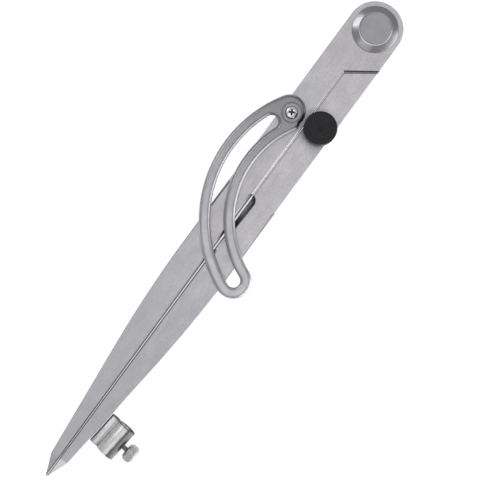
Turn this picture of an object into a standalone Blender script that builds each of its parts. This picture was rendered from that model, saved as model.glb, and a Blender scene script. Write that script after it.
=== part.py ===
"""Wing compass (scribing divider) with a pencil holder, closed and lying on its back.

The origin is on the pivot's axis, on the plane that the legs' back faces rest on. +Z points
out of the front face, -Y runs from the pivot to the points, and +X is the pencil leg's side.
All lengths are in metres.
"""
import math

import bmesh
import bpy
from mathutils import Matrix, Vector

# Clearances
GAP = 0.00025                   # between two pieces that touch on the real object
SEAM = 0.00015                  # from the middle line to each leg's inner edge

# Legs
LEG_LENGTH = 0.2393             # pivot axis to point
LEG_THICKNESS = 0.0060
HALF_WIDTH = 0.0123             # the head's radius, and half of both legs' width
EDGE = 0.0003                   # chamfer round the legs' outlines
TAPER_START = -0.1240           # y where the outer edges begin to close in
TAPER_RADIUS = 0.5000
TAPER_ANGLE = math.radians(5.8)
POINT_START = -0.2292           # y where the ground points begin
POINT_HALF_WIDTH = 0.00035
POINT_THICKNESS = 0.0006
RELIEF_START = -0.0888          # y where the inner edges step back
RELIEF = 0.00038                # the step, which closes again towards the points
LAP_ANGLE = math.radians(36.0)  # slope of the shoulders of the half-lap joint
LAP_EDGE = -0.02240             # y of a lap's edge on the middle line
SHOULDER = -0.02335             # y of the facing shoulder on the middle line
MID = LEG_THICKNESS / 2

# Pivot
PIVOT_SHANK = 0.0040            # radii from here
PIVOT_THREAD = 0.0030
PIVOT_HEAD = 0.0101
PIVOT_FACE = 0.0072
PIVOT_NUT = 0.0060
FRICTION_WASHER = 0.0088
PIVOT_HEAD_HEIGHT = 0.00195
NUT_THICKNESS = 0.0013
FRICTION_THICKNESS = 0.0004

# Wing
WING_HINGE = Vector((-0.0076, -0.0504))
HINGE_TO_CENTRE = 0.0496        # from the hinge to the centre of the wing's arc
WING_RADIUS = 0.0500            # radius of the slot's middle line
WING_CENTRE_DIRECTION = math.radians(-32.5)     # from the hinge to the arc's centre
WING_HALF_WIDTH = 0.00785
WING_SLOT = 0.0058
WING_THICKNESS = 0.0024
WING_ROUNDING = 0.00105
SLOT_FROM_HINGE = math.radians(10.7)
SLOT_SPAN = math.radians(89.3)
WING_LOW = LEG_THICKNESS + GAP
WING_TOP = WING_LOW + WING_THICKNESS
SCREW_SHOULDER = 0.0022         # radii from here
SCREW_THREAD = 0.0016
SCREW_HEAD = 0.0027
WING_WASHER = 0.0041
WING_WASHER_THICKNESS = 0.0005
DIMPLE_DEPTH = 0.0005

# Clamp knob
STUD = Vector((0.0064, -0.0490))
STUD_RADIUS = 0.0025
KNOB_RADIUS = 0.0072
KNOB_HEIGHT = 0.0083
KNOB_WASHER = 0.0056
KNOB_WASHER_THICKNESS = 0.0007
KNOB_LOW = LEG_THICKNESS + KNOB_WASHER_THICKNESS + 2 * GAP
STUD_TOP = KNOB_LOW + 0.0053

# Pencil holder
HOLDER_Y = -0.2079              # the holder's middle along the leg
HOLDER_LENGTH = 0.0150
HOLDER_REACH = 0.0131           # leg's edge to the pencil tube's far side
TUBE_RADIUS = 0.0043
TUBE_BORE = 0.00375
LOBE_RADIUS = 0.0023
LOBE_BORE = 0.0017
LOBE_HEIGHT = 0.0033
PENCIL_STEM = 0.0012
PENCIL_HEAD = 0.0042
PENCIL_HEAD_LENGTH = 0.0049
HEAD_STANDOFF = 0.0018          # from the tube to the knurled head
TUBE_HEIGHT = TUBE_RADIUS + 0.00005

STEEL = ((0.46, 0.45, 0.47), 0.34, 1.0)
STEEL_DARK = ((0.33, 0.33, 0.35), 0.30, 1.0)
BRIGHT = ((0.62, 0.61, 0.60), 0.16, 1.0)
BLACK = ((0.018, 0.018, 0.020), 0.42, 0.0)


# ---------------------------------------------------------------- scene, materials, objects

def clear_scene():
    for obj in list(bpy.data.objects):
        bpy.data.objects.remove(obj, do_unlink=True)


def make_collection(name):
    collection = bpy.data.collections.new(name)
    bpy.context.scene.collection.children.link(collection)
    return collection


def make_material(name, finish):
    color, roughness, metallic = finish
    material = bpy.data.materials.new(name)
    material.use_nodes = True
    shader = material.node_tree.nodes["Principled BSDF"]
    shader.inputs["Base Color"].default_value = (*color, 1.0)
    shader.inputs["Roughness"].default_value = roughness
    shader.inputs["Metallic"].default_value = metallic
    material.diffuse_color = (*color, 1.0)
    return material


def add_object(name, mesh, collection, finish=None):
    obj = bpy.data.objects.new(name, mesh)
    collection.objects.link(obj)
    if finish:
        mesh.materials.append(make_material(name + "_finish", finish))
    return obj


def shade_round(mesh):
    mesh.shade_smooth()
    mesh.set_sharp_from_angle(angle=math.radians(32))


# ---------------------------------------------------------------- outlines

def arc(centre, radius, start, end, steps):
    """Points along an arc, both ends included; angles in radians."""
    points = []
    for i in range(steps + 1):
        angle = start + (end - start) * i / steps
        points.append((centre[0] + radius * math.cos(angle), centre[1] + radius * math.sin(angle)))
    return points


def circle(centre, radius, steps, clockwise=False):
    turn = -2 * math.pi if clockwise else 2 * math.pi
    return arc(centre, radius, 0.0, turn, steps)[:-1]


def outline_solid(name, outlines, low, high, collection, finish=None, rounding=0.0, rings=0):
    """A flat plate from 2D outlines (the first is the outside, the others are holes)."""
    curve = bpy.data.curves.new(name + "_outline", "CURVE")
    curve.dimensions = "2D"
    curve.fill_mode = "BOTH"
    curve.extrude = (high - low) / 2 - rounding
    curve.bevel_depth = rounding
    curve.bevel_resolution = rings
    curve.offset = -rounding
    for points in outlines:
        spline = curve.splines.new("POLY")
        spline.points.add(len(points) - 1)
        for point, (x, y) in zip(spline.points, points):
            point.co = (x, y, 0.0, 1.0)
        spline.use_cyclic_u = True
    guide = bpy.data.objects.new(name + "_guide", curve)
    bpy.context.scene.collection.objects.link(guide)
    bpy.context.view_layer.update()
    evaluated = guide.evaluated_get(bpy.context.evaluated_depsgraph_get())
    mesh = bpy.data.meshes.new_from_object(evaluated)
    bpy.data.objects.remove(guide, do_unlink=True)
    shape = bmesh.new()
    shape.from_mesh(mesh)
    bmesh.ops.remove_doubles(shape, verts=shape.verts, dist=1e-6)
    bmesh.ops.translate(shape, verts=shape.verts, vec=(0.0, 0.0, (low + high) / 2))
    bmesh.ops.recalc_face_normals(shape, faces=shape.faces)
    shape.to_mesh(mesh)
    shape.free()
    mesh.name = name
    mesh.materials.clear()
    shade_round(mesh)
    return add_object(name, mesh, collection, finish)


# ---------------------------------------------------------------- turned pieces

def turned(name, profile, collection, finish=None, steps=48):
    """A piece turned about its own Z axis; the profile of (radius, height) runs clockwise.

    It is closed, except along the axis itself, where a solid piece has no wall.
    """
    mesh = bpy.data.meshes.new(name)
    pairs = [(i, (i + 1) % len(profile)) for i in range(len(profile))]
    edges = [(i, j) for i, j in pairs if profile[i][0] > 0.0 or profile[j][0] > 0.0]
    mesh.from_pydata([(radius, 0.0, height) for radius, height in profile], edges, [])
    obj = add_object(name, mesh, collection, finish)
    screw = obj.modifiers.new("Turn", "SCREW")
    screw.steps = steps
    screw.render_steps = steps
    screw.use_merge_vertices = True
    screw.merge_threshold = 1e-6
    screw.use_smooth_shade = True
    return obj


def cylinder_cutter(name, radius, low, high, collection, centre=(0.0, 0.0), sides=48):
    return outline_solid(name, [circle(centre, radius, sides)], low, high, collection)


def rod_cutter(name, radius, start, end, collection, sides=32):
    """A capsule between two points, for milled reliefs with a rounded start."""
    axis = end - start
    shape = bmesh.new()
    bmesh.ops.create_uvsphere(shape, u_segments=sides, v_segments=sides // 2, radius=radius)
    for vertex in shape.verts:
        if vertex.co.z > 1e-7:
            vertex.co.z += axis.length
    mesh = bpy.data.meshes.new(name)
    shape.to_mesh(mesh)
    shape.free()
    obj = add_object(name, mesh, collection)
    turn = axis.to_track_quat("Z", "Y").to_matrix().to_4x4()
    obj.matrix_world = Matrix.Translation(start) @ turn
    return obj


def box_cutter(name, size, matrix, collection):
    shape = bmesh.new()
    bmesh.ops.create_cube(shape, size=1.0)
    bmesh.ops.scale(shape, vec=size, verts=shape.verts)
    mesh = bpy.data.meshes.new(name)
    shape.to_mesh(mesh)
    shape.free()
    obj = add_object(name, mesh, collection)
    obj.matrix_world = matrix
    return obj


def cut(obj, cutters):
    for cutter in cutters:
        cutter.hide_render = True
        cutter.display_type = "WIRE"
        boolean = obj.modifiers.new("Cut " + cutter.name, "BOOLEAN")
        boolean.operation = "DIFFERENCE"
        boolean.solver = "EXACT"
        boolean.object = cutter


# ---------------------------------------------------------------- legs

def outer_edge(y):
    """Half-width of the closed compass at y, on the straight part of the taper."""
    arc_end = TAPER_START - TAPER_RADIUS * math.sin(TAPER_ANGLE)
    arc_width = HALF_WIDTH - TAPER_RADIUS * (1 - math.cos(TAPER_ANGLE))
    return arc_width - (arc_end - y) * math.tan(TAPER_ANGLE)


def lap_line(y_middle, x):
    """The slanted edge of a lap, or the shoulder that faces it."""
    return y_middle + abs(x) * math.tan(LAP_ANGLE)


def leg_outline():
    """The wing leg's outline with its full-width head; the leg is on the -X side."""
    tip = -LEG_LENGTH
    inner = [
        (-0.0001, tip),
        (-SEAM, POINT_START),
        (-RELIEF, TAPER_START),
        (-RELIEF, RELIEF_START - 0.0012),
        (-SEAM, RELIEF_START),
        (-SEAM, lap_line(LAP_EDGE, SEAM)),
    ]
    lap = [(HALF_WIDTH, lap_line(LAP_EDGE, HALF_WIDTH))]
    head = arc((0.0, 0.0), HALF_WIDTH, 0.0, math.pi, 36)
    taper_centre = (-HALF_WIDTH + TAPER_RADIUS, TAPER_START)
    taper = arc(taper_centre, TAPER_RADIUS, math.pi, math.pi + TAPER_ANGLE, 8)
    point = [(-outer_edge(POINT_START), POINT_START), (-POINT_HALF_WIDTH, tip)]
    return inner + lap + head + taper + point


def lap_cutter(name, collection):
    """Takes away the back half of the head, behind the front lap."""
    far = HALF_WIDTH + 0.0012
    outline = [
        (-far, lap_line(SHOULDER, far)),
        (-SEAM, lap_line(SHOULDER, SEAM)),
        (far, lap_line(SHOULDER, SEAM)),
        (far, far),
        (-far, far),
    ]
    return outline_solid(name, [outline], -0.001, MID + GAP / 2, collection)


def point_cutters(name, collection):
    """Two sloping planes that grind the point's front and back."""
    length = LEG_LENGTH + POINT_START
    drop = (LEG_THICKNESS - POINT_THICKNESS) / 2
    slope = math.atan2(drop, length)
    cutters = []
    for side, label in ((1, "front"), (-1, "back")):
        hinge = Matrix.Translation((0.0, POINT_START, MID + side * MID))
        tilt = Matrix.Rotation(side * slope, 4, "X")
        lift = Matrix.Translation((0.0, -0.010, side * 0.005))
        cutters.append(box_cutter(f"{name}_{label}", (0.04, 0.02, 0.01), hinge @ tilt @ lift, collection))
    return cutters


def both_faces(points):
    """The same route on the front and, mirrored, on the back."""
    back = [Vector((p.x, p.y, LEG_THICKNESS - p.z)) for p in points]
    return (("front", points), ("back", back))


def relief_cutters(name, radius, side, start, end, collection):
    """Milled edge relief on both faces; start and end are the cutter's axis at the front face."""
    cutters = []
    route = [Vector((side * start[0], start[1], start[2])), Vector((side * end[0], end[1], end[2]))]
    for label, points in both_faces(route):
        cutters.append(rod_cutter(f"{name}_{label}", radius, points[0], points[1], collection))
    return cutters


def make_leg(name, parts, cutters, turned_over):
    """One leg; turned_over gives the pencil leg, the wing leg rotated half a turn about Y."""
    leg = outline_solid(name, [leg_outline()], 0.0, LEG_THICKNESS, parts, STEEL, rounding=EDGE)
    if turned_over:
        middle = Matrix.Translation((0.0, 0.0, MID))
        half_turn = middle @ Matrix.Rotation(math.pi, 4, "Y") @ middle.inverted()
        leg.data.transform(half_turn)
    tools = [lap_cutter(name + "_lap_cut", cutters)]
    if turned_over:
        tools[0].data.transform(half_turn)
    tools += point_cutters(name + "_point_cut", cutters)
    washer_room = FRICTION_THICKNESS / 2 + GAP
    tools.append(cylinder_cutter(
        name + "_washer_recess", FRICTION_WASHER + GAP, MID - washer_room, MID + washer_room, cutters))
    tools.append(cylinder_cutter(
        name + "_pivot_hole", PIVOT_SHANK + GAP, -0.001, LEG_THICKNESS + 0.001, cutters))
    return leg, tools


def make_wing_leg(parts, cutters):
    leg, tools = make_leg("wing_leg", parts, cutters, turned_over=False)
    tools += relief_cutters(
        "wing_leg_inner_relief", 0.0022, 1, (0.0002, -0.0902, 0.0070), (0.0002, -0.1290, 0.0080), cutters)
    tools += relief_cutters(
        "wing_leg_outer_relief", 0.0022, -1, (0.0132, -0.0902, 0.0070), (0.0132, -0.1250, 0.0081), cutters)
    tools.append(cylinder_cutter(
        "wing_screw_hole", SCREW_THREAD + GAP, 0.00115, LEG_THICKNESS + 0.001, cutters, WING_HINGE, 24))
    cut(leg, tools)
    return leg


def make_pencil_leg(parts, cutters):
    leg, tools = make_leg("pencil_leg", parts, cutters, turned_over=True)
    tools += relief_cutters(
        "pencil_leg_inner_relief", 0.0040, 1, (-0.0006, -0.0919, 0.0077), (-0.0006, -0.1290, 0.0099), cutters)
    tools += relief_cutters(
        "pencil_leg_outer_relief", 0.0022, 1, (0.0132, -0.0910, 0.0070), (0.0132, -0.1250, 0.0081), cutters)
    tools.append(cylinder_cutter(
        "pivot_nut_recess", PIVOT_NUT + GAP, -0.001, NUT_THICKNESS + GAP, cutters))
    tools.append(cylinder_cutter(
        "stud_hole", STUD_RADIUS + GAP, -0.001, LEG_THICKNESS + 0.001, cutters, STUD, 32))
    cut(leg, tools)
    return leg


# ---------------------------------------------------------------- pivot

def make_pivot(parts, cutters):
    under_head = LEG_THICKNESS + GAP
    top = under_head + PIVOT_HEAD_HEIGHT
    shoulder = NUT_THICKNESS + 2 * GAP
    end = 0.00065
    turned("pivot_bolt", [
        (0.0, top),
        (PIVOT_FACE - 0.0002, top),
        (PIVOT_FACE + 0.0001, top - 0.0001),
        (PIVOT_HEAD - 0.0002, under_head + 0.0006),
        (PIVOT_HEAD, under_head + 0.0004),
        (PIVOT_HEAD, under_head),
        (PIVOT_SHANK, under_head),
        (PIVOT_SHANK, shoulder),
        (PIVOT_THREAD, shoulder),
        (PIVOT_THREAD, end),
        (0.0, end),
    ], parts, STEEL, steps=64)
    nut = turned("pivot_nut", [
        (PIVOT_THREAD + GAP, NUT_THICKNESS),
        (PIVOT_NUT, NUT_THICKNESS),
        (PIVOT_NUT, 0.0002),
        (PIVOT_NUT - 0.0002, 0.0),
        (0.0, 0.0),
        (0.0, end - GAP),
        (PIVOT_THREAD + GAP, end - GAP),
    ], parts, STEEL_DARK)
    spanner_holes = []
    for side in (-1, 1):
        spanner_holes.append(cylinder_cutter(
            f"spanner_hole_{side + 1}", 0.0006, -0.001, 0.0007, cutters, (side * 0.0047, 0.0), 16))
    cut(nut, spanner_holes)
    washer_low = MID - FRICTION_THICKNESS / 2
    turned("pivot_friction_washer", [
        (PIVOT_SHANK + GAP, washer_low + FRICTION_THICKNESS),
        (FRICTION_WASHER, washer_low + FRICTION_THICKNESS),
        (FRICTION_WASHER, washer_low),
        (PIVOT_SHANK + GAP, washer_low),
    ], parts, STEEL_DARK)


# ---------------------------------------------------------------- wing and its screw

def wing_frame():
    """The arc's centre, and the angle from it to the hinge."""
    direction = Vector((math.cos(WING_CENTRE_DIRECTION), math.sin(WING_CENTRE_DIRECTION)))
    centre = WING_HINGE + HINGE_TO_CENTRE * direction
    return centre, WING_CENTRE_DIRECTION + math.pi


def wing_outline():
    """Round eye at the hinge, curved band, round far end; counter-clockwise."""
    centre, hinge_angle = wing_frame()
    far_angle = hinge_angle + SLOT_FROM_HINGE + SLOT_SPAN
    far_centre = arc(centre, WING_RADIUS, far_angle, far_angle, 1)[0]
    eye = WING_HINGE + Vector((-0.0013, 0.0002))
    eye_angle = math.atan2(eye.y - centre.y, eye.x - centre.x)
    eye_radius = WING_RADIUS + WING_HALF_WIDTH - (eye - centre).length
    inner_radius = WING_RADIUS - WING_HALF_WIDTH
    outer = arc(centre, WING_RADIUS + WING_HALF_WIDTH, eye_angle, far_angle, 34)
    end = arc(far_centre, WING_HALF_WIDTH, far_angle, far_angle + math.pi, 16)
    inner = arc(centre, inner_radius, far_angle, hinge_angle + math.radians(2.2), 30)
    corner = arc(centre, inner_radius - 0.0002, hinge_angle + math.radians(1.2), hinge_angle, 1)
    cap = arc(eye, eye_radius, math.radians(-8), eye_angle, 20)
    return outer + end[1:] + inner[1:] + corner + cap[:-1]


def slot_outline():
    """The curved slot, clockwise because it is a hole."""
    centre, hinge_angle = wing_frame()
    near = hinge_angle + SLOT_FROM_HINGE
    far = near + SLOT_SPAN
    half = WING_SLOT / 2
    near_centre = arc(centre, WING_RADIUS, near, near, 1)[0]
    far_centre = arc(centre, WING_RADIUS, far, far, 1)[0]
    inner = arc(centre, WING_RADIUS - half, near, far, 28)
    far_end = arc(far_centre, half, far + math.pi, far, 10)
    outer = arc(centre, WING_RADIUS + half, far, near, 28)
    near_end = arc(near_centre, half, near, near - math.pi, 10)
    return inner + far_end[1:] + outer[1:] + near_end[1:-1]


def make_wing(parts, cutters):
    outlines = [
        wing_outline(),
        slot_outline(),
        circle(WING_HINGE, SCREW_SHOULDER + GAP, 32, clockwise=True),
    ]
    wing = outline_solid(
        "wing", outlines, WING_LOW, WING_TOP, parts, STEEL_DARK, rounding=WING_ROUNDING, rings=1)
    dimple = cylinder_cutter(
        "wing_dimple", WING_WASHER + GAP, WING_TOP - DIMPLE_DEPTH, WING_TOP + 0.001, cutters, WING_HINGE)
    cut(wing, [dimple])


def make_wing_screw(parts, cutters):
    washer_low = WING_TOP - DIMPLE_DEPTH + GAP
    washer_top = washer_low + WING_WASHER_THICKNESS
    hinge = empty("wing_screw_axis", (WING_HINGE.x, WING_HINGE.y, 0.0))
    washer = turned("wing_washer", [
        (SCREW_SHOULDER + GAP, washer_top),
        (WING_WASHER - 0.00015, washer_top),
        (WING_WASHER, washer_top - 0.00015),
        (WING_WASHER, washer_low),
        (SCREW_SHOULDER + GAP, washer_low),
    ], parts, STEEL)
    washer.parent = hinge
    head_low = washer_top + GAP
    head_top = head_low + 0.0014
    screw = turned("wing_screw", [
        (0.0, head_top),
        (0.0011, head_top - 0.00005),
        (0.0019, head_top - 0.00025),
        (SCREW_HEAD - 0.0002, head_top - 0.0007),
        (SCREW_HEAD, head_top - 0.0011),
        (SCREW_HEAD, head_low),
        (SCREW_SHOULDER, head_low),
        (SCREW_SHOULDER, WING_LOW + 0.0001),
        (SCREW_THREAD, WING_LOW + 0.0001),
        (SCREW_THREAD, 0.0014),
        (0.0, 0.0014),
    ], parts, BRIGHT, steps=32)
    screw.parent = hinge
    arms = []
    for i, angle in enumerate((28, 118)):
        turn = Matrix.Rotation(math.radians(angle), 4, "Z")
        place = Matrix.Translation((WING_HINGE.x, WING_HINGE.y, head_top)) @ turn
        arms.append(box_cutter(f"recess_arm_{i}", (0.0032, 0.0008, 0.0019), place, cutters))
    cut(screw, arms)


def empty(name, location):
    marker = bpy.data.objects.new(name, None)
    marker.empty_display_size = 0.004
    marker.location = location
    bpy.context.scene.collection.objects.link(marker)
    return marker


# ---------------------------------------------------------------- clamp knob

def make_clamp(parts):
    axis = empty("clamp_axis", (STUD.x, STUD.y, 0.0))
    washer_low = LEG_THICKNESS + GAP
    washer_top = washer_low + KNOB_WASHER_THICKNESS
    bore = STUD_RADIUS + GAP
    top = KNOB_LOW + KNOB_HEIGHT
    washer = turned("knob_washer", [
        (bore, washer_top),
        (KNOB_WASHER - 0.0002, washer_top),
        (KNOB_WASHER, washer_top - 0.0002),
        (KNOB_WASHER, washer_low),
        (bore, washer_low),
    ], parts, STEEL_DARK)
    stud = turned("clamp_stud", [
        (0.0, STUD_TOP - GAP),
        (STUD_RADIUS, STUD_TOP - GAP),
        (STUD_RADIUS, 0.0008),
        (STUD_RADIUS - 0.0004, 0.0004),
        (0.0, 0.0004),
    ], parts, BRIGHT, steps=32)
    knob = turned("clamp_knob", [
        (0.0, top - 0.0005),
        (0.0008, top - 0.00045),
        (0.0013, top - 0.0002),
        (KNOB_RADIUS - 0.0010, top),
        (KNOB_RADIUS - 0.0003, top - 0.0002),
        (KNOB_RADIUS, top - 0.0007),
        (KNOB_RADIUS, KNOB_LOW + 0.0012),
        (KNOB_RADIUS - 0.0006, KNOB_LOW + 0.0006),
        (KNOB_RADIUS - 0.0016, KNOB_LOW),
        (bore, KNOB_LOW),
        (bore, STUD_TOP),
        (0.0, STUD_TOP),
    ], parts, BLACK, steps=64)
    for piece in (washer, stud, knob):
        piece.parent = axis


# ---------------------------------------------------------------- pencil holder

def holder_matrix():
    """Local X leads away from the leg's edge, local Y up, local Z along the tube to the point."""
    out = Vector((math.cos(TAPER_ANGLE), -math.sin(TAPER_ANGLE), 0.0))
    up = Vector((0.0, 0.0, 1.0))
    along = out.cross(up)
    turn = Matrix((out, up, along)).transposed().to_4x4()
    return Matrix.Translation((outer_edge(HOLDER_Y), HOLDER_Y, 0.0)) @ turn


def holder_outlines():
    """Two joined lobes, the pencil tube and the small one that is brazed to the leg."""
    tube = Vector((HOLDER_REACH - TUBE_RADIUS, TUBE_HEIGHT))
    lobe = Vector((GAP + LOBE_RADIUS, LOBE_HEIGHT))
    between = lobe - tube
    distance = between.length
    facing = math.atan2(between.y, between.x)
    reach = (distance ** 2 + TUBE_RADIUS ** 2 - LOBE_RADIUS ** 2) / (2 * distance)
    tube_half = math.acos(reach / TUBE_RADIUS)
    lobe_half = math.acos((distance - reach) / LOBE_RADIUS)
    tube_arc = arc(tube, TUBE_RADIUS, facing + tube_half, facing + 2 * math.pi - tube_half, 40)
    lobe_arc = arc(lobe, LOBE_RADIUS, facing - math.pi + lobe_half, facing + math.pi - lobe_half, 24)
    outside = tube_arc + lobe_arc[1:-1]
    bores = [circle(tube, TUBE_BORE, 40, clockwise=True), circle(lobe, LOBE_BORE, 24, clockwise=True)]
    return [outside] + bores


def make_holder(parts, cutters):
    place = holder_matrix()
    half = HOLDER_LENGTH / 2
    holder = outline_solid("pencil_holder", holder_outlines(), -half, half, parts, BRIGHT)
    holder.matrix_world = place
    screw_axis = place @ Matrix.Translation((0.0, TUBE_HEIGHT, 0.0)) @ Matrix.Rotation(math.pi / 2, 4, "Y")
    hole = cylinder_cutter(
        "pencil_screw_hole", PENCIL_STEM + GAP, HOLDER_REACH - 0.0020, HOLDER_REACH + 0.0010, cutters, sides=24)
    hole.matrix_world = screw_axis
    cut(holder, [hole])
    head_low = HOLDER_REACH + HEAD_STANDOFF
    head_top = head_low + PENCIL_HEAD_LENGTH
    stem_low = HOLDER_REACH - TUBE_RADIUS + TUBE_BORE - 0.0004
    stem_top = head_low + 0.0034
    axis = empty("pencil_screw_axis", (0.0, 0.0, 0.0))
    axis.matrix_world = screw_axis
    stem = turned("pencil_screw_stem", [
        (0.0, stem_top),
        (PENCIL_STEM, stem_top),
        (PENCIL_STEM, stem_low + 0.0003),
        (PENCIL_STEM - 0.0003, stem_low),
        (0.0, stem_low),
    ], parts, STEEL, steps=24)
    head = turned("pencil_screw_head", [
        (0.0, head_top),
        (PENCIL_HEAD - 0.0014, head_top),
        (PENCIL_HEAD - 0.0004, head_top - 0.0006),
        (PENCIL_HEAD, head_top - 0.0016),
        (PENCIL_HEAD, head_low + 0.0014),
        (PENCIL_HEAD - 0.0005, head_low + 0.0005),
        (PENCIL_HEAD - 0.0014, head_low + 0.0001),
        (PENCIL_STEM + 0.0008, head_low),
        (PENCIL_STEM + GAP, head_low),
        (PENCIL_STEM + GAP, stem_top + GAP),
        (0.0, stem_top + GAP),
    ], parts, STEEL)
    stem.parent = axis
    head.parent = axis


def main():
    clear_scene()
    parts = make_collection("wing_compass")
    cutters = make_collection("cutters")
    make_wing_leg(parts, cutters)
    make_pencil_leg(parts, cutters)
    make_pivot(parts, cutters)
    make_wing(parts, cutters)
    make_wing_screw(parts, cutters)
    make_clamp(parts)
    make_holder(parts, cutters)
    bpy.context.view_layer.update()


main()
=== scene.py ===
import math

import bmesh
import bpy
from mathutils import Matrix, Vector


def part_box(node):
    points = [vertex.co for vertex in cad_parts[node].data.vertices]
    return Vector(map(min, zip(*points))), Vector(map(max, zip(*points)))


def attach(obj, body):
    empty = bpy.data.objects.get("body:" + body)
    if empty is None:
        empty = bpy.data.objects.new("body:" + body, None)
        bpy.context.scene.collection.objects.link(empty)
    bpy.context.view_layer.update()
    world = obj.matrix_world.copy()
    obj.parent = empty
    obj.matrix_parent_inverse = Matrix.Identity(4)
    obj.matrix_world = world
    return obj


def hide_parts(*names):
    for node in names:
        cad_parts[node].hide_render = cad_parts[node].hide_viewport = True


# The looks of a wing compass: two half-lapped steel legs, a curved slotted wing with its hinge
# screw, a black clamp knob and a pencil clip with a knurled screw. All lengths are in metres.

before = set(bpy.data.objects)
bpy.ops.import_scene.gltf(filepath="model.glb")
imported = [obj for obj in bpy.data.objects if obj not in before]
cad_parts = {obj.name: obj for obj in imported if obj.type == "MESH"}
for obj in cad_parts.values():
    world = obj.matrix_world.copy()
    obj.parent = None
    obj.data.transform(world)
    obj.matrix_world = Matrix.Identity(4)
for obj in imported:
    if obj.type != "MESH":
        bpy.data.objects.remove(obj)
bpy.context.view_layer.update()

# Places and sizes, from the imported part
PIVOT_LOW, PIVOT_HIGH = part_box("pivot_bolt")
KNOB_LOW, KNOB_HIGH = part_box("clamp_knob")
STUD_LOW, STUD_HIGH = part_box("clamp_stud")
WING_LOW, WING_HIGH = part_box("wing")
SCREW_LOW, SCREW_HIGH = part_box("wing_screw")
WASHER_LOW, WASHER_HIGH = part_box("wing_washer")
KNOB_WASHER_LOW, KNOB_WASHER_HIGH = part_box("knob_washer")
LEG_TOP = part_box("wing_leg")[1].z
HINGE = (SCREW_LOW + SCREW_HIGH) / 2
STUD = (STUD_LOW + STUD_HIGH) / 2
GAP = 0.00025                   # between two pieces that touch on the real object

# The legs
HALF_WIDTH = 0.0123             # the head's radius, and half of both legs' width
LAP_SLOPE = math.tan(math.radians(36))
LAP_EDGE = -0.02240             # y of a lap's edge on the middle line
SHOULDER = -0.02335             # y of the facing shoulder on the middle line
RELIEF_START = -0.0888          # y where the inner edges step back
TAPER_START = -0.1240           # y where the outer edges begin to close in
TAPER_RADIUS = 0.5000
TAPER_ANGLE = math.radians(5.8)
POINT_START = -0.2292           # y where the ground points begin

# The pivot
PIVOT_FACE = 0.0072             # radii from here
PIVOT_SHANK = 0.0040
PIVOT_THREAD = 0.0030
NUT_BORE = 0.00325
FRICTION_BORE = 0.00425
PIVOT_UNDERSIDE = 0.00625       # heights from here
PIVOT_SHOULDER = 0.0018
NUT_WEB = 0.0004                # the nut's closed bottom
SPANNER_HOLE_DEPTH = 0.0007
SPANNER_HOLE = 0.0006           # radius
SPANNER_HOLE_PLACE = 0.0047     # from the axis

# The wing's arc and slot
ARC_DIRECTION = math.radians(-32.5)
HINGE_TO_CENTRE = 0.0496
WING_RADIUS = 0.0500
WING_HALF_WIDTH = 0.00784
WING_SLOT = 0.0058
WING_CROWN = 0.0017             # how far the rounding reaches across the wing's top
WING_EDGE_TILT = math.radians(50)
WING_CORNER = 0.00012           # the small corner below the crown
WING_UNDERCUT = 0.0006
SLOT_FROM_HINGE = math.radians(10.7)
SLOT_SPAN = math.radians(89.3)
EYE_OFFSET = Vector((-0.0013, 0.0002))      # from the hinge to the middle of the eye's round end
EYE_START = math.radians(-14)               # where the eye's round end begins
INNER_EDGE_END = math.radians(2.2)          # angles past the hinge, seen from the arc's centre
CORNER_TIP = math.radians(-0.3)             # between the inner edge and the eye
WING_CENTRE = HINGE.xy + HINGE_TO_CENTRE * Vector((math.cos(ARC_DIRECTION), math.sin(ARC_DIRECTION)))
HINGE_ANGLE = ARC_DIRECTION + math.pi

# The wing's hinge screw
WING_BORE = 0.00245             # radii from here
SCREW_SHOULDER = 0.0022
SCREW_THREAD = 0.0016
SCREW_SHOULDER_LOW = 0.00635    # height of the shoulder's end
CROSS_ANGLES = (28, 118)        # degrees
CROSS_ARM = (0.0035, 0.00105, 0.0026)

# The clamp
CLAMP_BORE = 0.00275            # in the knob and in its washer
KNOB_EDGE = 0.00085             # height of the rounding at the knob's top edge
KNOB_RIBS = 72
KNOB_RIB_DEPTH = 0.00011
STUD_CHAMFER = 0.0005
STUD_PITCH = 0.0008
STUD_THREAD_DEPTH = 0.00038

# The pencil holder, on the leg's tapered edge
HOLDER_Y = -0.2079
HOLDER_LENGTH = 0.0150
HOLDER_REACH = 0.0131
TUBE_RADIUS = 0.0043
TUBE_HEIGHT = 0.00435
LOBE_RADIUS = 0.0023
LOBE_HEIGHT = 0.0033
STRIP = 0.00055                 # thickness of the holder's formed strip

# The pencil screw; its low ends are given by their distance from the leg's edge
STEM_RADIUS = 0.0012
STEM_CHAMFER = 0.0003
STEM_PITCH = 0.00045
STEM_THREAD_DEPTH = 0.0002
STEM_CLEAR = 0.00145            # radius of the holes round the stem
STEM_IN_HEAD = 0.0034
STEM_LOW = HOLDER_REACH - STRIP - 0.0004
KNURL_LOW = HOLDER_REACH + 0.0018
KNURL_LENGTH = 0.0049
KNURL_RADIUS = 0.0042
KNURL_TEETH = 34
KNURL_LEAN = 3.6                # teeth that a groove passes over in KNURL_LEAN_RUN
KNURL_LEAN_RUN = 0.0042
KNURL_DEPTH = 0.00021

# The set: name, place, aim, width, height and radiance of each softbox
MIDDLE = (0.0, -0.110, 0.0)
SOFTBOXES = (
    ("overhead", (0.0, -0.30, 1.60), MIDDLE, 1.20, 2.70, 0.60),
    ("right", (1.28, -0.02, 0.405), MIDDLE, 1.80, 0.81, 2.0),
    ("left_window", (-1.00, 0.02, 0.86), (0.0, -0.05, 0.0), 0.72, 0.36, 2.2),
)
WORLD_COLOR = (0.95, 0.97, 1.0, 1.0)
WORLD_STRENGTH = 0.42
FLOOR_SIZE = 3.0
FLOOR_Z = -0.0001
FLOOR_GLOW = 0.62
CAMERA_PLACE = (0.01297, -0.1084, 0.606)
CAMERA_TURN = math.radians(36.4)
CAMERA_LENS = 100.35


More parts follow.
